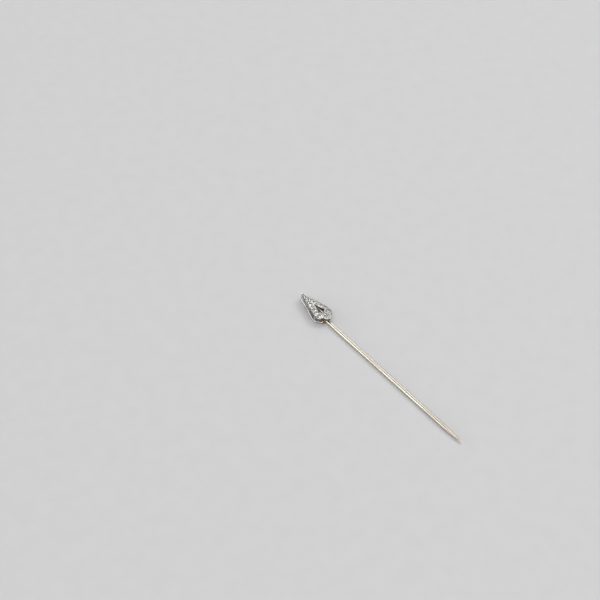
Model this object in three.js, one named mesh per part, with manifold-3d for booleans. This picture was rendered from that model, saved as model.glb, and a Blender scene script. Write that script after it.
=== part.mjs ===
import * as THREE from "three";
import { mergeVertices } from "three/addons/utils/BufferGeometryUtils.js";
import Module from "manifold-3d";

// Arrowhead stick pin. Millimetres. +Y runs from the stem to the arrowhead's tip, +Z out of the
// stones' face, and z = 0 is the plane the pin lies on. The origin is under the middle of the joint.

const wasm = await Module();
wasm.setup();

// ---- stem ----
const STEM_RADIUS = 0.575;
const STEM_END_Y = -54.5;
const STEM_START_Y = -0.8;
const STEM_TAPER = 6.5;
const STEM_TAPER_POWER = 0.62;
const STEM_NOSE_RADIUS = 0.06;
const STEM_SIDES = 28;

// ---- joint between stem and head ----
const JOINT_HALF_LENGTH = 1.15;
const JOINT_HALF_WIDTH = 0.36;
const JOINT_HEIGHT = 0.7;
const JOINT_CORNER = 0.26;
const JOINT_END_LENGTH = 0.22;
const JOINT_END_SHARE = 0.86;
const BOSS_RADIUS = 0.62;
const BOSS_LIP = 0.06;

// ---- top plate ----
const PLATE_UNDERSIDE_Z = 1.8;
const CROWN_Z = 2.55;
const CROWN_Y = 3.3;
const DOME_HALF_WIDTH = 4.69;
const DOME_HALF_LENGTH = 14.83;
const DOME_HEIGHT = 2.2;
const BASE_Y = -0.58;
const BASE_RADIUS = 1.17;
const LOBE_X = 1.42;
const LOBE_Y = 0.65;
const LOBE_RADIUS = 1.1;
const TIP_Y = 10.2;
const TIP_RADIUS = 0.22;
const SIDE_LOW_HANDLE = [2.54, 3.55];
const SIDE_HIGH_HANDLE = [1, 6.15];

// ---- opening between the arms ----
const APEX_Y = 4.94;
const APEX_HALF_WIDTH = 0.05;
const ARM_EDGE_HANDLE = [0.35, 3.16];
const ARM_CORNER_ANGLE = 105;
const SLIT_WIDTH = 0.2;
const SLIT_END_ANGLE = 240;
const SPINE_TIP_Y = 3.76;
const SPINE_TIP_HALF_WIDTH = 0.06;
const SPINE_SHOULDER_ANGLE = 126;
const SPINE_BEVEL_WIDTH = 0.75;
const SPINE_BEVEL_DROP = 0.42;
const SPINE_RIDGE_SINK = 0.02;

// ---- rim wire and gallery posts ----
const RIM_RADIUS = 0.21;
const RIM_SWELL = 0.14;
const RIM_SWELL_AT = 0.95;
const RIM_SWELL_LENGTH = 1;
const RIM_SIDES = 16;
const RIM_STEPS = 110;
const RIM_RISE = 0.45;
const RIM_RISE_START_Y = 3;
const RIM_TIP_Y = 10.42;
const RIM_HALF = [
  [JOINT_HALF_LENGTH, 0.04],
  [1.38, 0.08],
  [1.66, 0.28],
  [1.98, 0.66],
  [2.3, 1.15],
  [2.46, 1.75],
  [2.45, 2.55],
  [2.22, 3.4],
  [1.78, 4.75],
  [1.32, 6.2],
  [0.85, 7.9],
  [0.52, 9.5],
  [0.34, 10.15],
];
const POST_RADIUS = 0.15;
const POST_SIDES = 12;
const POST_BITE = 0.03;

// ---- stones, as [x, y, girdle radius] ----
const LOBE_STONE = [LOBE_X, LOBE_Y + 0.02, 0.69];
const ARM_STONES = [
  [1.76, 2.02, 0.57],
  [1.41, 3.24, 0.57],
  [1.04, 4.42, 0.55],
  [0.7, 5.53, 0.52],
  [0.53, 6.6, 0.46],
  [0.41, 7.5, 0.35],
];
const LINE_STONES = [
  [0, 8.28, 0.44],
  [0, 9.1, 0.3],
  [0, 9.68, 0.2],
  [0, 10.1, 0.14],
];
const BASE_STONE = [0, -0.77, 0.6];
const STONE_SINK = 0.18;
const TABLE_SHARE = 0.52;
const CROWN_SHARE = 0.34;
const STAR_SHARE = 0.73;
const GIRDLE_SHARE = 0.05;
const PAVILION_SHARE = 0.76;
const LOWER_HALF_SHARE = 0.36;
const CULET_SHARE = 0.07;
const SEAT_CLEARANCE = 0.015;
const SEAT_BEVEL_SHARE = 0.2;
const SEAT_HOLE_SHARE = 0.42;
const SEAT_SIDES = 16;

// ---- grains that hold the stones ----
const GRAIN_LEAST_RADIUS = 0.055;
const GRAIN_SHARE = 0.11;
const GRAIN_STANDOFF = 0.08;
const GRAIN_SIDES = 7;
const GRAIN_FIT = 1.02;
const LOBE_GRAIN_ANGLES = [-75, -20, 35, 150];
const BASE_GRAIN_ANGLES = [-135, -45, 45, 135];

const OVERSHOOT = 0.6;
const rad = THREE.MathUtils.degToRad;

// ---- solids ----

function toSolid(geometry) {
  const bare = new THREE.BufferGeometry();
  bare.setAttribute("position", geometry.getAttribute("position"));
  bare.setIndex(geometry.index);
  const welded = mergeVertices(bare, 1e-4);
  const index = welded.index.array;
  const kept = [];
  for (let i = 0; i < index.length; i += 3) {
    const [a, b, c] = index.slice(i, i + 3);
    if (a !== b && b !== c && c !== a) kept.push(a, b, c);
  }
  const vertProperties = welded.getAttribute("position").array;
  const triVerts = new Uint32Array(kept);
  return new wasm.Manifold(new wasm.Mesh({ numProp: 3, vertProperties, triVerts }));
}

function toGeometry(solid) {
  const mesh = solid.getMesh();
  const geometry = new THREE.BufferGeometry();
  geometry.setAttribute("position", new THREE.BufferAttribute(mesh.vertProperties, 3));
  geometry.setIndex(new THREE.BufferAttribute(mesh.triVerts, 1));
  geometry.computeVertexNormals();
  return geometry;
}

function welded(geometry) {
  return toGeometry(toSolid(geometry));
}

function mirroredLoop(rightHalf) {
  const left = rightHalf
    .slice()
    .reverse()
    .filter((p) => p.x > 1e-6)
    .map((p) => new THREE.Vector2(-p.x, p.y));
  return [...rightHalf, ...left];
}

// ---- top plate ----

function circleCrossing(a, radiusA, b, radiusB) {
  const between = b.clone().sub(a);
  const distance = between.length();
  const along = (radiusA ** 2 - radiusB ** 2 + distance ** 2) / (2 * distance);
  const aside = Math.sqrt(radiusA ** 2 - along ** 2);
  between.normalize();
  return new THREE.Vector2(
    a.x + along * between.x + aside * between.y,
    a.y + along * between.y - aside * between.x,
  );
}

function plateOutline() {
  const base = new THREE.Vector2(0, BASE_Y);
  const lobe = new THREE.Vector2(LOBE_X, LOBE_Y);
  const notch = circleCrossing(base, BASE_RADIUS, lobe, LOBE_RADIUS);
  const baseNotchAngle = notch.clone().sub(base).angle() - 2 * Math.PI;
  const lobeNotchAngle = notch.clone().sub(lobe).angle() - 2 * Math.PI;
  const half = new THREE.Path();
  half.absarc(base.x, base.y, BASE_RADIUS, -Math.PI / 2, baseNotchAngle);
  half.absarc(lobe.x, lobe.y, LOBE_RADIUS, lobeNotchAngle, 0);
  half.bezierCurveTo(...SIDE_LOW_HANDLE, ...SIDE_HIGH_HANDLE, TIP_RADIUS, TIP_Y);
  half.absarc(0, TIP_Y, TIP_RADIUS, 0, Math.PI / 2);
  return mirroredLoop(half.getPoints(14));
}

function openingOutline() {
  const corner = rad(ARM_CORNER_ANGLE);
  const end = rad(SLIT_END_ANGLE);
  const midSlit = LOBE_RADIUS + SLIT_WIDTH / 2;
  const endX = LOBE_X + midSlit * Math.cos(end);
  const endY = LOBE_Y + midSlit * Math.sin(end);
  const half = new THREE.Path();
  half.moveTo(0, APEX_Y + APEX_HALF_WIDTH);
  half.lineTo(APEX_HALF_WIDTH, APEX_Y);
  half.quadraticCurveTo(
    ...ARM_EDGE_HANDLE,
    LOBE_X + LOBE_RADIUS * Math.cos(corner),
    LOBE_Y + LOBE_RADIUS * Math.sin(corner),
  );
  half.absarc(LOBE_X, LOBE_Y, LOBE_RADIUS, corner, end);
  half.absarc(endX, endY, SLIT_WIDTH / 2, end + Math.PI, end, true);
  half.absarc(LOBE_X, LOBE_Y, LOBE_RADIUS + SLIT_WIDTH, end, rad(SPINE_SHOULDER_ANGLE), true);
  half.lineTo(SPINE_TIP_HALF_WIDTH, SPINE_TIP_Y - SPINE_TIP_HALF_WIDTH);
  half.lineTo(0, SPINE_TIP_Y);
  return mirroredLoop(half.getPoints(12));
}

function domeSolid() {
  const dome = new THREE.SphereGeometry(1, 56, 28);
  dome.scale(DOME_HALF_WIDTH, DOME_HALF_LENGTH, DOME_HEIGHT);
  dome.translate(0, CROWN_Y, CROWN_Z - DOME_HEIGHT);
  return toSolid(dome);
}

function domeAt(x, y) {
  const across = x / DOME_HALF_WIDTH;
  const along = (y - CROWN_Y) / DOME_HALF_LENGTH;
  const up = Math.sqrt(1 - across ** 2 - along ** 2);
  const point = new THREE.Vector3(x, y, CROWN_Z - DOME_HEIGHT + DOME_HEIGHT * up);
  const normal = new THREE.Vector3(
    across / DOME_HALF_WIDTH,
    along / DOME_HALF_LENGTH,
    up / DOME_HEIGHT,
  ).normalize();
  return { point, normal };
}

// The right half of the spine and of the gap beside it, seen from above.
function spineSide() {
  const shoulder = rad(SPINE_SHOULDER_ANGLE);
  const half = new THREE.Path();
  const midSlit = LOBE_RADIUS + SLIT_WIDTH / 2;
  half.moveTo(0, LOBE_Y);
  half.lineTo(LOBE_X - midSlit, LOBE_Y);
  half.absarc(LOBE_X, LOBE_Y, midSlit, Math.PI, shoulder, true);
  half.lineTo(2 * SPINE_TIP_HALF_WIDTH, SPINE_TIP_Y);
  half.lineTo(0, SPINE_TIP_Y + SPINE_TIP_HALF_WIDTH);
  const depth = CROWN_Z - PLATE_UNDERSIDE_Z + OVERSHOOT;
  const column = new THREE.ExtrudeGeometry(new THREE.Shape(half.getPoints(12)), {
    depth,
    bevelEnabled: false,
  });
  column.translate(0, 0, PLATE_UNDERSIDE_Z);
  return toSolid(column);
}

function spineBevel(side) {
  const wedge = new THREE.Shape([
    new THREE.Vector2(0, 0),
    new THREE.Vector2(SPINE_BEVEL_WIDTH, -SPINE_BEVEL_DROP),
    new THREE.Vector2(SPINE_BEVEL_WIDTH, OVERSHOOT),
    new THREE.Vector2(0, OVERSHOOT),
  ]);
  const top = SPINE_TIP_Y + OVERSHOOT;
  const geometry = new THREE.ExtrudeGeometry(wedge, { depth: top, bevelEnabled: false });
  geometry.rotateX(Math.PI / 2);
  geometry.translate(0, top, CROWN_Z - SPINE_RIDGE_SINK);
  const solid = toSolid(geometry).intersect(spineSide());
  return side > 0 ? solid : solid.mirror([1, 0, 0]);
}

function placeOnDome(geometry, [x, y, radius]) {
  const { point, normal } = domeAt(x, y);
  const turn = new THREE.Quaternion().setFromUnitVectors(new THREE.Vector3(0, 0, 1), normal);
  const girdle = point.addScaledVector(normal, -STONE_SINK * radius);
  geometry.applyQuaternion(turn);
  geometry.translate(girdle.x, girdle.y, girdle.z);
  return geometry;
}

function seatCutter(stone) {
  const wide = stone[2] + SEAT_CLEARANCE;
  const hole = stone[2] * SEAT_HOLE_SHARE;
  const ledge = -GIRDLE_SHARE * stone[2];
  const bevel = SEAT_BEVEL_SHARE * stone[2];
  const slope = (PAVILION_SHARE - GIRDLE_SHARE) / (1 - CULET_SHARE);
  const profile = [
    [0, -2],
    [hole, -2],
    [hole, ledge - (wide - hole) * slope - 0.02],
    [wide, ledge - 0.02],
    [wide, GIRDLE_SHARE * stone[2]],
    [wide + bevel, GIRDLE_SHARE * stone[2] + bevel],
    [wide + bevel, OVERSHOOT],
    [0, OVERSHOOT],
  ].map(([x, y]) => new THREE.Vector2(x, y));
  const lathe = new THREE.LatheGeometry(profile, SEAT_SIDES);
  lathe.rotateX(Math.PI / 2);
  return toSolid(placeOnDome(welded(lathe), stone));
}

function mirrored([x, y, radius]) {
  return [-x, y, radius];
}

function stoneCentre([x, y]) {
  return new THREE.Vector2(x, y);
}

function grainBetween(a, b) {
  const spot = circleCrossing(
    stoneCentre(a),
    a[2] + GRAIN_STANDOFF,
    stoneCentre(b),
    b[2] + GRAIN_STANDOFF,
  );
  return [spot.x, spot.y, GRAIN_LEAST_RADIUS + GRAIN_SHARE * Math.min(a[2], b[2])];
}

function grainsAlong(row) {
  return row
    .slice(1)
    .flatMap((stone, i) => [grainBetween(row[i], stone), grainBetween(stone, row[i])]);
}

function grainsAround(stone, angles) {
  return angles.map((angle) => {
    const reach = new THREE.Vector2(stone[2] + GRAIN_STANDOFF, 0);
    const spot = stoneCentre(stone).add(reach.rotateAround(new THREE.Vector2(), rad(angle)));
    return [spot.x, spot.y, GRAIN_LEAST_RADIUS + GRAIN_SHARE * stone[2]];
  });
}

function grainSpots() {
  const right = grainsAlong([LOBE_STONE, ...ARM_STONES, LINE_STONES[0]]);
  right.push(...grainsAround(LOBE_STONE, LOBE_GRAIN_ANGLES));
  return [
    ...right,
    ...right.map(mirrored),
    ...grainsAlong(LINE_STONES),
    ...grainsAround(BASE_STONE, BASE_GRAIN_ANGLES),
  ];
}

function grain([x, y, radius]) {
  const bead = new THREE.SphereGeometry(radius, GRAIN_SIDES, 4);
  bead.rotateX(Math.PI / 2);
  return toSolid(placeOnDome(welded(bead), [x, y, 0]));
}

function stonesGrown(stones) {
  return wasm.Manifold.union(
    stones.map((stone) => {
      const grown = stoneGeometry(stone[2] * GRAIN_FIT);
      return toSolid(placeOnDome(grown, stone));
    }),
  );
}

function topPlate(stones) {
  const shape = new THREE.Shape(plateOutline());
  shape.holes.push(new THREE.Path(openingOutline()));
  const slab = new THREE.ExtrudeGeometry(shape, {
    depth: CROWN_Z - PLATE_UNDERSIDE_Z + OVERSHOOT,
    bevelEnabled: false,
  });
  slab.translate(0, 0, PLATE_UNDERSIDE_Z);
  let plate = toSolid(slab).intersect(domeSolid());
  for (const side of [1, -1]) {
    plate = plate.subtract(spineBevel(side));
  }
  for (const stone of stones) {
    plate = plate.subtract(seatCutter(stone));
  }
  const grains = wasm.Manifold.union(grainSpots().map(grain));
  return toGeometry(plate.add(grains).subtract(stonesGrown(stones)));
}

// ---- stones ----

function ringPoints(count, startAngle, radius, z) {
  return Array.from({ length: count }, (_, i) => {
    const angle = startAngle + (i * 2 * Math.PI) / count;
    return [radius * Math.cos(angle), radius * Math.sin(angle), z];
  });
}

function stoneGeometry(radius) {
  const half = Math.PI / 8;
  const crownFall = (CROWN_SHARE - GIRDLE_SHARE) / (1 - TABLE_SHARE);
  const starZ = CROWN_SHARE - (STAR_SHARE * Math.cos(half) - TABLE_SHARE) * crownFall;
  const pavilionFall = (PAVILION_SHARE - GIRDLE_SHARE) / (1 - CULET_SHARE);
  const lowerZ = -GIRDLE_SHARE - (1 - LOWER_HALF_SHARE * Math.cos(half)) * pavilionFall;
  const points = [
    ...ringPoints(8, 0, TABLE_SHARE, CROWN_SHARE),
    ...ringPoints(8, half, STAR_SHARE, starZ),
    ...ringPoints(16, 0, 1, GIRDLE_SHARE),
    ...ringPoints(16, 0, 1, -GIRDLE_SHARE),
    ...ringPoints(8, half, LOWER_HALF_SHARE, lowerZ),
    ...ringPoints(8, 0, CULET_SHARE, -PAVILION_SHARE),
  ];
  return toGeometry(wasm.Manifold.hull(points).scale(radius));
}

// ---- rim wire and posts ----

function rimPath(steps) {
  const right = RIM_HALF.map(([x, y]) => new THREE.Vector3(x, y, 0));
  const left = right
    .slice()
    .reverse()
    .map((p) => new THREE.Vector3(-p.x, p.y, 0));
  const tip = new THREE.Vector3(0, RIM_TIP_Y, 0);
  const curve = new THREE.CatmullRomCurve3([...right, tip, ...left], false, "centripetal");
  const step = curve.getLength() / steps;
  return curve.getSpacedPoints(steps).map((point, i) => {
    const fromEnd = Math.min(i, steps - i) * step;
    const swell = Math.exp(-(((fromEnd - RIM_SWELL_AT) / RIM_SWELL_LENGTH) ** 2));
    const radius = RIM_RADIUS + RIM_SWELL * swell;
    const climb = (point.y - RIM_RISE_START_Y) / (RIM_TIP_Y - RIM_RISE_START_Y);
    point.z = radius + RIM_RISE * THREE.MathUtils.clamp(climb, 0, 1) ** 1.5;
    return { point, radius };
  });
}

function sweptWire(path, sides) {
  const last = path.length - 1;
  const spots = path.flatMap(({ point, radius }, i) => {
    const forward = path[Math.min(i + 1, last)].point.clone();
    forward.sub(path[Math.max(i - 1, 0)].point).normalize();
    const aside = forward.clone().cross(new THREE.Vector3(0, 0, 1)).normalize();
    const up = aside.clone().cross(forward);
    return Array.from({ length: sides }, (_, k) => {
      const angle = (k * 2 * Math.PI) / sides;
      const spot = point.clone().addScaledVector(aside, radius * Math.cos(angle));
      return spot.addScaledVector(up, radius * Math.sin(angle));
    });
  });
  const index = [];
  for (let k = 0; k < sides; k += 1) {
    const next = (k + 1) % sides;
    index.push(spots.length, k, next);
    index.push(spots.length + 1, last * sides + next, last * sides + k);
    for (let i = 0; i < last; i += 1) {
      const near = i * sides;
      const far = near + sides;
      index.push(near + k, far + k, far + next);
      index.push(near + k, far + next, near + next);
    }
  }
  spots.push(path[0].point, path[last].point);
  const geometry = new THREE.BufferGeometry().setFromPoints(spots);
  geometry.setIndex(index);
  return geometry;
}

function rimWire() {
  return welded(sweptWire(rimPath(RIM_STEPS), RIM_SIDES));
}

function rimNearest(x, y) {
  const offset = ({ point }) => Math.hypot(point.x - x, point.y - y);
  return rimPath(400).reduce((best, spot) => (offset(spot) < offset(best) ? spot : best));
}

function post(x, y, lean) {
  const { point: foot, radius } = rimNearest(x, y);
  foot.z += radius - POST_BITE;
  const inward = new THREE.Vector2(-Math.sign(x) * (x ? 1 : 0), x ? 0 : -1).multiplyScalar(lean);
  const head = new THREE.Vector3(foot.x + inward.x, foot.y + inward.y, PLATE_UNDERSIDE_Z);
  const rise = head.z - foot.z;
  const column = new THREE.CylinderGeometry(POST_RADIUS, POST_RADIUS, rise, POST_SIDES);
  column.rotateX(Math.PI / 2);
  column.translate(0, 0, rise / 2);
  const shear = new THREE.Matrix4().makeShear(0, 0, 0, 0, inward.x / rise, inward.y / rise);
  column.applyMatrix4(shear);
  column.translate(foot.x, foot.y, foot.z);
  return welded(column);
}

// ---- joint and stem ----

function jointBar() {
  const half = new THREE.Path();
  half.moveTo(0, 0);
  half.lineTo(JOINT_HALF_WIDTH, 0);
  half.absarc(
    JOINT_HALF_WIDTH - JOINT_CORNER,
    JOINT_HEIGHT - JOINT_CORNER,
    JOINT_CORNER,
    0,
    Math.PI / 2,
  );
  const section = mirroredLoop(half.getPoints(4));
  const stations = [
    [JOINT_HALF_LENGTH - JOINT_END_LENGTH, 1],
    [JOINT_HALF_LENGTH, JOINT_END_SHARE],
  ];
  const spots = stations.flatMap(([x, share]) =>
    section.flatMap((p) => [
      [x, p.x * share, p.y * share],
      [-x, p.x * share, p.y * share],
    ]),
  );
  return wasm.Manifold.hull(spots);
}

function joint() {
  const bossStart = STEM_START_Y + 0.01;
  const profile = [
    [0, bossStart],
    [BOSS_RADIUS - BOSS_LIP / 2, bossStart],
    [BOSS_RADIUS, bossStart + BOSS_LIP],
    [BOSS_RADIUS, 0.2],
    [BOSS_RADIUS * 0.87, 0.42],
    [BOSS_RADIUS * 0.5, 0.56],
    [0, 0.62],
  ].map(([x, y]) => new THREE.Vector2(x, y));
  const boss = new THREE.LatheGeometry(profile, STEM_SIDES);
  boss.translate(0, 0, STEM_RADIUS);
  const keep = new THREE.BoxGeometry(4, 4, 4);
  keep.translate(0, 0, 2);
  return toGeometry(jointBar().add(toSolid(boss)).intersect(toSolid(keep)));
}

function stem() {
  const taperStart = STEM_END_Y + STEM_TAPER;
  const profile = [new THREE.Vector2(0, STEM_END_Y)];
  const rings = 12;
  for (let i = 0; i <= rings; i += 1) {
    const share = (i / rings) ** 1.6;
    const radius = STEM_NOSE_RADIUS + (STEM_RADIUS - STEM_NOSE_RADIUS) * share ** STEM_TAPER_POWER;
    profile.push(new THREE.Vector2(radius, STEM_END_Y + 0.03 + (STEM_TAPER - 0.03) * share));
  }
  const shaftSteps = 6;
  for (let i = 1; i <= shaftSteps; i += 1) {
    const y = THREE.MathUtils.lerp(taperStart, STEM_START_Y, i / shaftSteps);
    profile.push(new THREE.Vector2(STEM_RADIUS, y));
  }
  profile.push(new THREE.Vector2(0, STEM_START_Y));
  const wire = new THREE.LatheGeometry(profile, STEM_SIDES);
  wire.translate(0, 0, STEM_RADIUS);
  return welded(wire);
}

// ---- materials ----

function headMetal() {
  return new THREE.MeshStandardMaterial({ color: 0xd9d9d4, metalness: 1, roughness: 0.22 });
}

function stemMetal() {
  return new THREE.MeshStandardMaterial({ color: 0xdfd9c8, metalness: 1, roughness: 0.2 });
}

function jointGold() {
  return new THREE.MeshStandardMaterial({ color: 0xc79a58, metalness: 1, roughness: 0.3 });
}

function stoneMaterial() {
  return new THREE.MeshStandardMaterial({ color: 0xeef3f6, metalness: 0, roughness: 0.02 });
}

// ---- assembly ----

const group = new THREE.Group();

function addNode(name, geometry, material) {
  const mesh = new THREE.Mesh(geometry, material);
  mesh.name = name;
  group.add(mesh);
}

const stones = new Map([["stone_base", BASE_STONE]]);
stones.set("stone_lobe_right", LOBE_STONE);
stones.set("stone_lobe_left", mirrored(LOBE_STONE));
ARM_STONES.forEach((stone, i) => {
  stones.set("stone_arm_right_" + (i + 1), stone);
  stones.set("stone_arm_left_" + (i + 1), mirrored(stone));
});
LINE_STONES.forEach((stone, i) => stones.set("stone_line_" + (i + 1), stone));

addNode("top_plate", topPlate([...stones.values()]), headMetal());
addNode("rim_wire", rimWire(), headMetal());
addNode("post_tip", post(0, RIM_TIP_Y, 0.16), headMetal());
addNode("post_upper_right", post(0.62, 9.1, 0.34), headMetal());
addNode("post_upper_left", post(-0.62, 9.1, 0.34), headMetal());
addNode("post_lobe_right", post(2.46, 1.8, 0.16), headMetal());
addNode("post_lobe_left", post(-2.46, 1.8, 0.16), headMetal());
addNode("joint", joint(), jointGold());
addNode("stem", stem(), stemMetal());
for (const [name, stone] of stones) {
  addNode(name, placeOnDome(stoneGeometry(stone[2]), stone), stoneMaterial());
}

export default group;
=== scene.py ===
"""Looks of the arrowhead stick pin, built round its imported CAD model, in the CAD frame. +Y runs
from the stem to the arrowhead's tip, +Z out of the stones' face, and z = 0 is the ground."""

import math
import random

import bpy
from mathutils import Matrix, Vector


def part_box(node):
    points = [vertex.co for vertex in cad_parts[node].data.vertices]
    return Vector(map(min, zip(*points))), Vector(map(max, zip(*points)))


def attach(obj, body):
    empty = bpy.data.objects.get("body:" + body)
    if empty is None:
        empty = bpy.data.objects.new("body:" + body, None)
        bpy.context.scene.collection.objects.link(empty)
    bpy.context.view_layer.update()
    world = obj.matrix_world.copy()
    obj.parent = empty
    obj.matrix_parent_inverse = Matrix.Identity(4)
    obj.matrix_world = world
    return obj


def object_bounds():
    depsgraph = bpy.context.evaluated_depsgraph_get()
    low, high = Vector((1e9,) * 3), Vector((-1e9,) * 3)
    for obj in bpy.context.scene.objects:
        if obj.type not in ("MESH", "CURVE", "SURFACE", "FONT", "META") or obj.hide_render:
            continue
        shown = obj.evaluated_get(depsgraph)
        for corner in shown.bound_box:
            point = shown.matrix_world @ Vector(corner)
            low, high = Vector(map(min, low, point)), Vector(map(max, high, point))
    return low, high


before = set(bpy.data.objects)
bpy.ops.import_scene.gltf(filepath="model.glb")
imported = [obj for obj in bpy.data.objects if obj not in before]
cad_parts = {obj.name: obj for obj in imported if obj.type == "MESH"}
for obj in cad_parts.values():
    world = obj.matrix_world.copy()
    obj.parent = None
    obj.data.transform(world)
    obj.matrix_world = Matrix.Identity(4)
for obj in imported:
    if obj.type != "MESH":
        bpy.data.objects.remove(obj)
CAD_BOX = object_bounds()

MM = 0.001
SEED = 11
random.seed(SEED)

# Lengths are in millimetres unless a heading says otherwise. Noise scales are in waves per metre,
# turns of the noise in radians, and other angles in degrees.

# ---- the top plate's outlines, as in the CAD ----
CROWN_Z, CROWN_Y = 2.55, 3.3
DOME_HALF_WIDTH, DOME_HALF_LENGTH, DOME_HEIGHT = 4.69, 14.83, 2.2
BASE_Y, BASE_RADIUS = -0.58, 1.17
LOBE_X, LOBE_Y, LOBE_RADIUS = 1.42, 0.65, 1.1
TIP_Y, TIP_RADIUS, TIP_STEPS = 10.2, 0.22, 8
SIDE_LOW_HANDLE, SIDE_HIGH_HANDLE = (2.54, 3.55), (1.0, 6.15)
APEX = (0.05, 4.94)
ARM_EDGE_HANDLE = (0.35, 3.16)
ARM_CORNER_ANGLE, SLIT_END_ANGLE = 105, 240

# ---- beaded edges, which stop a few degrees short of the slit's end ----
BEAD_RADIUS = 0.085
BEAD_SPACING = 0.2
BEAD_INSET = 0.07
BEAD_SINK = 0.2
BEAD_JITTER = 0.012
BEAD_RINGS, BEAD_SEGMENTS = 6, 10
BEADS_STOP_SHORT = 4

# ---- smooth shading ----
WELD_DISTANCE = 0.001
SHARP_ANGLE = 32

# ---- precious metals: bright colour, worn colour, colour of grime and painted shade, and how strongly painted shade, partly tarnish, darkens the side faces ----
HEAD_METAL = ((0.77, 0.755, 0.705), (0.42, 0.405, 0.365), (0.06, 0.052, 0.044), 0.92)
GALLERY_METAL = ((0.92, 0.91, 0.87), (0.74, 0.73, 0.68), (0.12, 0.10, 0.085), 0.2)
BEAD_METAL = ((0.93, 0.92, 0.88), (0.72, 0.71, 0.66), (0.12, 0.10, 0.085), 0.4)
JOINT_GOLD = ((0.74, 0.50, 0.25), (0.56, 0.35, 0.17), (0.16, 0.08, 0.04), 0.5)
# painted shade on the sloping faces sunk in the pierced work, partly tarnish
DART_SHADE_AND_TARNISH = 0.8
POLISH_ROUGHNESS = (0.16, 0.34)
# reach of the crevice darkening, which paints grime and shade into corners and gaps
CREVICE_REACH = 0.5
RUBBED_WIDTH = 0.08
EDGE_SOFTNESS = 0.03
CLOUD_SCALE, PATCH_SCALE, GRAIN_SCALE = 950, 1300, 5200
SCRATCH_SCALE, SCRATCH_TURN = (4200, 4200, 600), (0.3, 0.2, 0.5)
GRAIN_DEPTH, SCRATCH_DEPTH = 0.02, 0.008

# ---- stem metal ----
STEM_BRIGHT, STEM_WORN = (0.95, 0.915, 0.785), (0.81, 0.755, 0.63)
# the rose colour is a painted reflection towards the point; the line and nick colours are the wire's
# own marks
STEM_ROSE_REFLECTION, STEM_LINES, STEM_NICKS = (0.80, 0.64, 0.55), (0.62, 0.56, 0.47), (0.42, 0.36, 0.31)
ROSE_REFLECTION_START_Y, ROSE_REFLECTION_FULL_Y = -38, -50
STEM_ROUGHNESS = (0.14, 0.26)
STEM_CLOUD_SCALE, WAVER_SCALE = (520, 160, 520), (250, 120, 250)
DRAW_SCALE = (9000, 110, 9000)
NICK_SCALE, NICK_TURN = (2600, 6500, 2600), (0.5, 0, 0.35)
WAVER_DEPTH, DRAW_DEPTH, NICK_DEPTH = 0.05, 0.012, 0.01

# ---- stones ----
STONE_WARM, STONE_COOL = (1.0, 0.98, 0.92), (0.98, 0.98, 0.97)
STONE_IOR = 2.42
TONE_SCALE, HAZE_SCALE = 420, 2600

# ---- floor ----
FLOOR_DARK, FLOOR_PALE = (0.60, 0.60, 0.61), (0.615, 0.615, 0.625)
MOTTLE_SCALE, BOARD_SCALE, BOARD_DEPTH = 220, 900, 0.05
FLOOR_HALF_WIDTH = 8000
FLOOR_DROP = 0.02

# ---- camera, with its target measured from the rim wire's tip ----
VIEW_AZIMUTH, VIEW_ELEVATION = -38.84, 46.7
VIEW_DISTANCE = 377.2
VIEW_LENS, SENSOR_WIDTH = 81, 36
NEAR_CLIP, FAR_CLIP = 10, 30000
TARGET_X, TARGET_FROM_TIP = -0.53, -0.08

# ---- lights, in metres: name, azimuth, elevation, size, radiance ----
LIGHT_DISTANCE = 2.0
SOFTBOXES = [
    ("key", 82, 46, (0.8, 0.8), 5.6),
    ("fill", -62, 52, (1.1, 1.1), 1.1),
    ("back", 141, 46, (1.2, 1.2), 1.05),
    ("side", -132, 16, (2.0, 0.8), 2.1),
    ("top", 0, 88, (1.4, 1.4), 1.2),
    ("front", 10, 26, (1.8, 0.8), 1.0),
    ("spark_right", 25, 64, (0.2, 0.2), 26),
    ("spark_left", -100, 70, (0.16, 0.16), 26),
]
SKY_COLOUR = (1.0, 0.995, 0.98)
SKY_HORIZON, SKY_ZENITH, SKY_ZENITH_Z = 0.24, 0.34, 0.9


# ---- outlines ----


def arc(centre, radius, start, end, steps=40):
    """Points round a circle, angles in degrees."""
    angles = [math.radians(start + (end - start) * i / steps) for i in range(steps + 1)]
    return [
        (centre[0] + radius * math.cos(a), centre[1] + radius * math.sin(a)) for a in angles
    ]


def bezier(points, steps=60):
    """Points along a Bezier curve of any degree, by repeated interpolation."""
    made = []
    for i in range(steps + 1):
        t = i / steps
        level = list(points)
        while len(level) > 1:
            level = [
                (a[0] + (b[0] - a[0]) * t, a[1] + (b[1] - a[1]) * t)
                for a, b in zip(level, level[1:])
            ]
        made.append(level[0])
    return made


def notch():
    """Where the base's circle meets the right lobe's, on the outside."""
    gap = math.hypot(LOBE_X, LOBE_Y - BASE_Y)
    along = (BASE_RADIUS**2 - LOBE_RADIUS**2 + gap**2) / (2 * gap)
    aside = math.sqrt(BASE_RADIUS**2 - along**2)
    ux, uy = LOBE_X / gap, (LOBE_Y - BASE_Y) / gap
    return along * ux + aside * uy, BASE_Y + along * uy - aside * ux


def angle_from(centre, point):
    return math.degrees(math.atan2(point[1] - centre[1], point[0] - centre[0]))


def outer_half():
    """The plate's outer edge, right half, from the base to the tip."""
    base, lobe, cut = (0, BASE_Y), (LOBE_X, LOBE_Y), notch()
    lobe_side = (LOBE_X + LOBE_RADIUS, LOBE_Y)
    tip_side = (TIP_RADIUS, TIP_Y)
    line = arc(base, BASE_RADIUS, -90, angle_from(base, cut))
    line += arc(lobe, LOBE_RADIUS, angle_from(lobe, cut), 0)[1:]
    line += bezier([lobe_side, SIDE_LOW_HANDLE, SIDE_HIGH_HANDLE, tip_side])[1:]
    line += arc((0, TIP_Y), TIP_RADIUS, 0, 90, TIP_STEPS)[1:]
    return line


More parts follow.
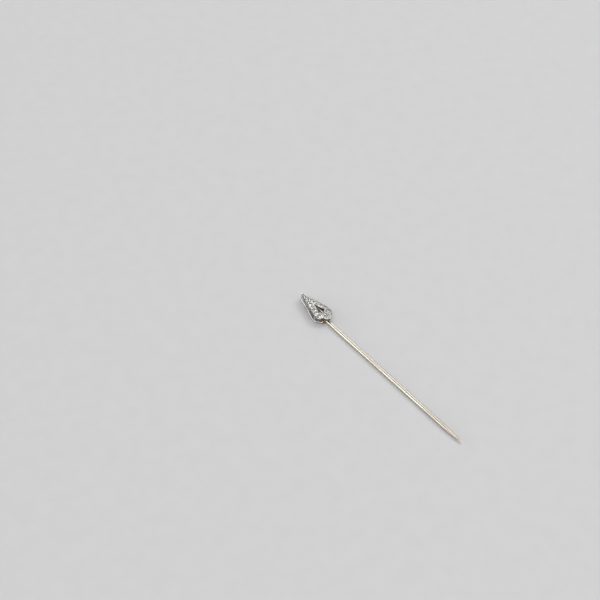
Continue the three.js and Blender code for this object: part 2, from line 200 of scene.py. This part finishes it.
def opening_half():
    """The opening's edge on the right arm, from its apex round the lobe almost to the slit's end."""
    last_angle = SLIT_END_ANGLE - BEADS_STOP_SHORT
    lobe_edge = arc((LOBE_X, LOBE_Y), LOBE_RADIUS, ARM_CORNER_ANGLE, last_angle)
    return bezier([APEX, ARM_EDGE_HANDLE, lobe_edge[0]]) + lobe_edge[1:]


def inset(line, by):
    """The line moved to its left by that distance."""
    made = []
    for i, (x, y) in enumerate(line):
        a, b = line[max(i - 1, 0)], line[min(i + 1, len(line) - 1)]
        dx, dy = b[0] - a[0], b[1] - a[1]
        length = math.hypot(dx, dy) or 1
        made.append((x - dy / length * by, y + dx / length * by))
    return made


def spaced(line, step):
    """Points along the line, about a step apart."""
    reach = [0.0]
    for a, b in zip(line, line[1:]):
        reach.append(reach[-1] + math.dist(a, b))
    count = max(2, round(reach[-1] / step))
    made, k = [], 0
    for i in range(count + 1):
        wanted = reach[-1] * i / count
        while k < len(line) - 2 and reach[k + 1] < wanted:
            k += 1
        share = (wanted - reach[k]) / max(reach[k + 1] - reach[k], 1e-9)
        a, b = line[k], line[k + 1]
        made.append((a[0] + (b[0] - a[0]) * share, a[1] + (b[1] - a[1]) * share))
    return made


def dome_at(x, y):
    """Point and normal of the plate's domed face at (x, y), in millimetres."""
    across, along = x / DOME_HALF_WIDTH, (y - CROWN_Y) / DOME_HALF_LENGTH
    up = math.sqrt(max(1 - across**2 - along**2, 0))
    point = Vector((x, y, CROWN_Z - DOME_HEIGHT + DOME_HEIGHT * up))
    normal = Vector((across / DOME_HALF_WIDTH, along / DOME_HALF_LENGTH, up / DOME_HEIGHT))
    return point, normal.normalized()


# ---- mesh pieces ----


def bead(verts, faces, centre, normal, radius):
    """Adds one round bead, its poles along the normal, to the lists."""
    turn = Vector((0, 0, 1)).rotation_difference(normal)
    start = len(verts)
    verts.append(centre + normal * radius)
    for i in range(1, BEAD_RINGS):
        polar = math.pi * i / BEAD_RINGS
        for k in range(BEAD_SEGMENTS):
            around = 2 * math.pi * k / BEAD_SEGMENTS
            spot = Vector(
                (
                    math.sin(polar) * math.cos(around),
                    math.sin(polar) * math.sin(around),
                    math.cos(polar),
                )
            )
            verts.append(centre + turn @ spot * radius)
    verts.append(centre - normal * radius)
    last = len(verts) - 1
    for k in range(BEAD_SEGMENTS):
        n = (k + 1) % BEAD_SEGMENTS
        faces.append((start, start + 1 + k, start + 1 + n))
        for i in range(BEAD_RINGS - 2):
            near = start + 1 + i * BEAD_SEGMENTS
            far = near + BEAD_SEGMENTS
            faces.append((near + k, far + k, far + n, near + n))
        low = last - BEAD_SEGMENTS
        faces.append((last, low + n, low + k))


def mesh_piece(name, verts, faces, material):
    """A smooth mesh from millimetre points, riding on the part."""
    mesh = bpy.data.meshes.new(name)
    mesh.from_pydata([v * MM for v in verts], [], faces)
    mesh.shade_smooth()
    mesh.materials.append(material)
    piece = bpy.data.objects.new(name, mesh)
    bpy.context.scene.collection.objects.link(piece)
    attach(piece, "root")
    return piece


def beaded_edge(name, half, material):
    """A row of fine beads along an edge of the plate, on both halves."""
    verts, faces = [], []
    right = spaced(inset(half, BEAD_INSET), BEAD_SPACING)
    for side in (1, -1):
        for x, y in right:
            if side < 0 and abs(x) < BEAD_SPACING / 2:
                continue
            point, normal = dome_at(side * x, y)
            radius = BEAD_RADIUS + random.uniform(-1, 1) * BEAD_JITTER
            bead(verts, faces, point - normal * BEAD_SINK * radius, normal, radius)
    return mesh_piece(name, verts, faces, material)


# ---- node material helpers ----


def set_range(node, low, high, start, end):
    """Sets a Map Range node to map low..high to start..end."""
    for name, number in zip(("From Min", "From Max", "To Min", "To Max"), (low, high, start, end)):
        node.inputs[name].default_value = number


class Tree:
    """A material's node tree, with short ways to add and join nodes."""

    def __init__(self, name):
        self.material = bpy.data.materials.new(name)
        self.material.use_nodes = True
        self.nodes = self.material.node_tree.nodes
        self.links = self.material.node_tree.links
        self.shader = self.nodes["Principled BSDF"]
        self.place = self.add("ShaderNodeTexCoord").outputs["Object"]

    def add(self, kind, **settings):
        node = self.nodes.new(kind)
        for key, value in settings.items():
            setattr(node, key, value)
        return node

    def put(self, value, socket):
        """Links an output to the socket, or sets the socket's own value."""
        if isinstance(value, bpy.types.NodeSocket):
            self.links.new(value, socket)
        else:
            socket.default_value = value

    def stretched(self, scale, turn=(0, 0, 0)):
        """The place on the part, scaled along each axis and then turned, for a noise of scale 1."""
        node = self.add("ShaderNodeMapping")
        self.put(self.place, node.inputs["Vector"])
        node.inputs["Scale"].default_value = scale
        node.inputs["Rotation"].default_value = turn
        return node.outputs["Vector"]

    def noise(self, scale, detail=3, roughness=0.55, vector=None):
        """Soft random cloud between 0 and 1, round the part's own place or a stretched one."""
        node = self.add("ShaderNodeTexNoise")
        self.put(vector or self.place, node.inputs["Vector"])
        node.inputs["Scale"].default_value = scale
        node.inputs["Detail"].default_value = detail
        node.inputs["Roughness"].default_value = roughness
        return node.outputs["Fac"]

    def ramp(self, value, low, high, start=0.0, end=1.0):
        """Maps value from low..high to start..end, held at the ends."""
        node = self.add("ShaderNodeMapRange")
        self.put(value, node.inputs["Value"])
        set_range(node, low, high, start, end)
        return node.outputs["Result"]

    def math(self, operation, a, b):
        node = self.add("ShaderNodeMath", operation=operation)
        self.put(a, node.inputs[0])
        self.put(b, node.inputs[1])
        return node.outputs["Value"]

    def mix(self, share, a, b):
        """Colour a where share is 0, and b where it is 1."""
        node = self.add("ShaderNodeMix", data_type="RGBA")
        self.put(share, node.inputs[0])
        for socket, value in ((node.inputs[6], a), (node.inputs[7], b)):
            self.put((*value, 1) if isinstance(value, tuple) else value, socket)
        return node.outputs[2]

    def crevice(self, reach):
        """1 deep in corners and gaps, 0 on open faces."""
        node = self.add("ShaderNodeAmbientOcclusion", samples=6)
        node.inputs["Distance"].default_value = reach
        return self.math("SUBTRACT", 1.0, node.outputs["AO"])

    def not_facing_up(self, full, none):
        """1 where the normal's upward share is below full, 0 where it is above none."""
        split = self.add("ShaderNodeSeparateXYZ")
        self.put(self.add("ShaderNodeNewGeometry").outputs["Normal"], split.inputs["Vector"])
        return self.ramp(split.outputs["Z"], full, none, 1.0, 0.0)

    def rubbed(self, radius):
        """1 along sharp edges, which handling keeps bright, and 0 away from them."""
        bevel = self.add("ShaderNodeBevel", samples=8)
        bevel.inputs["Radius"].default_value = radius
        match = self.add("ShaderNodeVectorMath", operation="DOT_PRODUCT")
        self.put(bevel.outputs["Normal"], match.inputs[0])
        self.put(self.add("ShaderNodeNewGeometry").outputs["Normal"], match.inputs[1])
        return self.ramp(match.outputs["Value"], 0.99, 0.8, 0.0, 1.0)

    def soft_edges(self, radius):
        node = self.add("ShaderNodeBevel", samples=4)
        node.inputs["Radius"].default_value = radius
        return node.outputs["Normal"]

    def bump(self, height, strength, distance, normal=None):
        node = self.add("ShaderNodeBump")
        self.put(height, node.inputs["Height"])
        node.inputs["Strength"].default_value = strength
        node.inputs["Distance"].default_value = distance
        if normal:
            self.put(normal, node.inputs["Normal"])
        return node.outputs["Normal"]

    def finish(self, colour, roughness, normal, metallic=1.0):
        self.put(colour, self.shader.inputs["Base Color"])
        self.put(roughness, self.shader.inputs["Roughness"])
        if normal:
            self.put(normal, self.shader.inputs["Normal"])
        self.shader.inputs["Metallic"].default_value = metallic
        return self.material


def worn_metal(name, looks, slope_shade_and_tarnish=0.0):
    """Polished precious metal: cloudy wear, hairline scratches, crevices darkened by grime and
    painted shade, and side faces darkened by painted shade with some tarnish. Sloping faces, which
    lie sunk in the pierced work, get painted shade of their own, partly tarnish."""
    bright, worn, shade_and_grime, side_shade_and_tarnish = looks
    t = Tree(name)
    cloud = t.ramp(t.noise(CLOUD_SCALE, detail=4), 0.4, 0.63)
    fine = t.noise(GRAIN_SCALE, detail=3)
    # crevice darkening: grime and painted shade in corners and gaps
    shade_and_dirt = t.ramp(t.crevice(CREVICE_REACH * MM), 0.15, 0.65, 0.0, 0.92)
    shade_and_dirt = t.math("MULTIPLY", shade_and_dirt, t.ramp(fine, 0.3, 0.6, 0.55, 1.0))
    patch = t.ramp(t.noise(PATCH_SCALE, detail=4), 0.3, 0.65, 0.75, 1.0)
    # painted shade on faces that do not look up, standing in for dark reflections, with some tarnish
    side = t.math("MULTIPLY", t.not_facing_up(0.1, 0.75), t.math("MULTIPLY", patch, side_shade_and_tarnish))
    clean = t.ramp(t.rubbed(RUBBED_WIDTH * MM), 0.0, 1.0, 1.0, 0.25)
    shade_and_dirt = t.math("MULTIPLY", t.math("MAXIMUM", shade_and_dirt, side), clean)
    # painted shade on the sloping faces sunk in the pierced work, partly tarnish
    sloping = t.math("SUBTRACT", t.not_facing_up(0.87, 0.95), t.not_facing_up(0.3, 0.6))
    slope_shade = t.math("MULTIPLY", sloping, t.math("MULTIPLY", patch, slope_shade_and_tarnish))
    shade_and_dirt = t.math("MAXIMUM", shade_and_dirt, slope_shade)
    colour = t.mix(shade_and_dirt, t.mix(cloud, bright, worn), shade_and_grime)
    hairs = t.stretched(SCRATCH_SCALE, SCRATCH_TURN)
    scratch = t.ramp(t.noise(1, detail=2, vector=hairs), 0.5, 0.56)
    rough_share = t.math("ADD", t.math("MULTIPLY", cloud, 0.6), t.math("MULTIPLY", fine, 0.4))
    roughness = t.ramp(rough_share, 0.2, 0.8, *POLISH_ROUGHNESS)
    roughness = t.math("ADD", roughness, t.math("MULTIPLY", shade_and_dirt, 0.25))
    normal = t.bump(fine, 0.12, GRAIN_DEPTH * MM, t.soft_edges(EDGE_SOFTNESS * MM))
    normal = t.bump(scratch, 0.1, SCRATCH_DEPTH * MM, normal)
    return t.finish(colour, roughness, normal)


def stem_metal():
    """Drawn wire: lengthwise draw lines, a slow waver, dull patches, nicks, and a painted reflection
    that turns the point rosier.
    """
    t = Tree("stem_metal")
    cloud = t.ramp(t.noise(1, detail=4, vector=t.stretched(STEM_CLOUD_SCALE)), 0.4, 0.72)
    draw = t.noise(1, detail=3, vector=t.stretched(DRAW_SCALE))
    nicks = t.stretched(NICK_SCALE, NICK_TURN)
    nick = t.ramp(t.noise(1, detail=2, vector=nicks), 0.64, 0.7)
    along = t.add("ShaderNodeSeparateXYZ")
    t.put(t.place, along.inputs["Vector"])
    # painted reflection: rosier towards the point
    rose_reflection = t.ramp(along.outputs["Y"], ROSE_REFLECTION_START_Y * MM, ROSE_REFLECTION_FULL_Y * MM, 0.0, 0.5)
    colour = t.mix(cloud, STEM_BRIGHT, STEM_WORN)
    colour = t.mix(rose_reflection, colour, STEM_ROSE_REFLECTION)
    colour = t.mix(t.ramp(draw, 0.35, 0.75, 0.0, 0.3), colour, STEM_LINES)
    colour = t.mix(t.math("MULTIPLY", nick, 0.25), colour, STEM_NICKS)
    roughness = t.ramp(draw, 0.3, 0.7, *STEM_ROUGHNESS)
    roughness = t.math("ADD", roughness, t.math("MULTIPLY", cloud, 0.12))
    roughness = t.math("ADD", roughness, t.math("MULTIPLY", nick, 0.15))
    waver = t.noise(1, detail=1, vector=t.stretched(WAVER_SCALE))
    normal = t.bump(waver, 0.12, WAVER_DEPTH * MM)
    normal = t.bump(draw, 0.16, DRAW_DEPTH * MM, normal)
    normal = t.bump(nick, 0.1, NICK_DEPTH * MM, normal)
    return t.finish(colour, roughness, normal)


def stone_material():
    """Clear old-cut stones, each a little warmer or cooler, with a faint haze of wear."""
    t = Tree("stone")
    tone = t.ramp(t.noise(TONE_SCALE, detail=0), 0.35, 0.65)
    colour = t.mix(tone, STONE_WARM, STONE_COOL)
    haze = t.ramp(t.noise(HAZE_SCALE, detail=3), 0.5, 0.75, 0.0, 0.05)
    t.shader.inputs["Transmission Weight"].default_value = 1.0
    t.shader.inputs["IOR"].default_value = STONE_IOR
    return t.finish(colour, haze, None, metallic=0.0)


def floor_material():
    """Plain pale matt board."""
    t = Tree("floor")
    colour = t.mix(t.ramp(t.noise(MOTTLE_SCALE, detail=2), 0.3, 0.7), FLOOR_DARK, FLOOR_PALE)
    normal = t.bump(t.noise(BOARD_SCALE, detail=3), 0.05, BOARD_DEPTH * MM)
    t.shader.inputs["Specular IOR Level"].default_value = 0.2
    return t.finish(colour, 0.85, normal, metallic=0.0)


# ---- CAD nodes ----


def smooth_round_faces():
    """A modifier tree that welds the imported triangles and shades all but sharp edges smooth."""
    tree = bpy.data.node_groups.new("smooth_round_faces", "GeometryNodeTree")
    tree.interface.new_socket("Geometry", in_out="INPUT", socket_type="NodeSocketGeometry")
    tree.interface.new_socket("Geometry", in_out="OUTPUT", socket_type="NodeSocketGeometry")
    into, out = tree.nodes.new("NodeGroupInput"), tree.nodes.new("NodeGroupOutput")
    weld = tree.nodes.new("GeometryNodeMergeByDistance")
    weld.inputs["Distance"].default_value = WELD_DISTANCE * MM
    angle = tree.nodes.new("GeometryNodeInputMeshEdgeAngle")
    sharp = tree.nodes.new("FunctionNodeCompare")
    sharp.data_type, sharp.operation = "FLOAT", "GREATER_THAN"
    sharp.inputs["B"].default_value = math.radians(SHARP_ANGLE)
    shade = tree.nodes.new("GeometryNodeSetMeshNormal")
    shade.mode = "SHARPNESS"
    shade.inputs["Remove Custom"].default_value = True
    join = tree.links.new
    join(into.outputs[0], weld.inputs["Geometry"])
    join(weld.outputs["Geometry"], shade.inputs["Mesh"])
    join(angle.outputs["Unsigned Angle"], sharp.inputs["A"])
    join(sharp.outputs["Result"], shade.inputs["Edge Sharpness"])
    join(shade.outputs["Mesh"], out.inputs[0])
    return tree


def dress(materials, other):
    """Gives each CAD node its material, and smooth shading to all but the faceted stones."""
    rounding = smooth_round_faces()
    for name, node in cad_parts.items():
        kind = "stone" if name.startswith("stone") else name
        material = materials.get(kind, other)
        node.data.materials.clear()
        node.data.materials.append(material)
        if kind != "stone":
            node.modifiers.new("smooth", "NODES").node_group = rounding


# ---- stage ----


def towards(azimuth, elevation):
    """Unit vector from the part towards that direction; azimuth 0 is -Y and 90 is +X."""
    a, e = math.radians(azimuth), math.radians(elevation)
    return Vector((math.sin(a) * math.cos(e), -math.cos(a) * math.cos(e), math.sin(e)))


def face_part(thing, back):
    """Turns a light or camera that stands along that direction to look back along it."""
    thing.rotation_mode = "QUATERNION"
    thing.rotation_quaternion = (-back).to_track_quat("-Z", "Y")


def floor(material):
    mesh = bpy.data.meshes.new("floor")
    reach, level = FLOOR_HALF_WIDTH * MM, CAD_BOX[0].z - FLOOR_DROP * MM
    corners = [(-reach, -reach), (reach, -reach), (reach, reach), (-reach, reach)]
    mesh.from_pydata([(x, y, level) for x, y in corners], [], [(0, 1, 2, 3)])
    mesh.materials.append(material)
    piece = bpy.data.objects.new("floor", mesh)
    bpy.context.scene.collection.objects.link(piece)


def softbox(name, azimuth, elevation, size, radiance):
    """A rectangular area light that looks at the part from a fixed distance."""
    back = towards(azimuth, elevation)
    lamp = bpy.data.lights.new(name, "AREA")
    lamp.shape, lamp.size, lamp.size_y = "RECTANGLE", size[0], size[1]
    lamp.energy = math.pi * size[0] * size[1] * radiance
    light = bpy.data.objects.new(name, lamp)
    bpy.context.scene.collection.objects.link(light)
    light.location = back * LIGHT_DISTANCE
    face_part(light, back)
    light.visible_camera = False


def sky():
    """A plain world, a little brighter overhead than at the horizon."""
    world = bpy.data.worlds.new("studio")
    bpy.context.scene.world = world
    world.use_nodes = True
    nodes, join = world.node_tree.nodes, world.node_tree.links.new
    place, split = nodes.new("ShaderNodeTexCoord"), nodes.new("ShaderNodeSeparateXYZ")
    climb = nodes.new("ShaderNodeMapRange")
    climb.interpolation_type = "SMOOTHSTEP"
    set_range(climb, 0.0, SKY_ZENITH_Z, SKY_HORIZON, SKY_ZENITH)
    join(place.outputs["Generated"], split.inputs["Vector"])
    join(split.outputs["Z"], climb.inputs["Value"])
    join(climb.outputs["Result"], nodes["Background"].inputs["Strength"])
    nodes["Background"].inputs["Color"].default_value = (*SKY_COLOUR, 1)


def camera(target):
    back = towards(VIEW_AZIMUTH, VIEW_ELEVATION)
    lens = bpy.data.cameras.new("camera")
    lens.lens, lens.sensor_width = VIEW_LENS, SENSOR_WIDTH
    lens.clip_start, lens.clip_end = NEAR_CLIP * MM, FAR_CLIP * MM
    eye = bpy.data.objects.new("camera", lens)
    bpy.context.scene.collection.objects.link(eye)
    eye.location = target + back * VIEW_DISTANCE * MM
    face_part(eye, back)
    bpy.context.scene.camera = eye


# ---- assembly ----

head = worn_metal("head_metal", HEAD_METAL, DART_SHADE_AND_TARNISH)
wire = worn_metal("gallery_metal", GALLERY_METAL)
beads = worn_metal("bead_metal", BEAD_METAL)
gold = worn_metal("joint_gold", JOINT_GOLD)
metals = {"top_plate": head, "joint": gold, "stem": stem_metal(), "stone": stone_material()}
dress(metals, wire)
beaded_edge("beads_outer", outer_half(), beads)
beaded_edge("beads_opening", opening_half(), beads)

floor(floor_material())
sky()
for settings in SOFTBOXES:
    softbox(*settings)
rim_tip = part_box("rim_wire")[1].y
camera(Vector((TARGET_X * MM, rim_tip + TARGET_FROM_TIP * MM, 0)))
bpy.context.scene.view_settings.view_transform = "Standard"
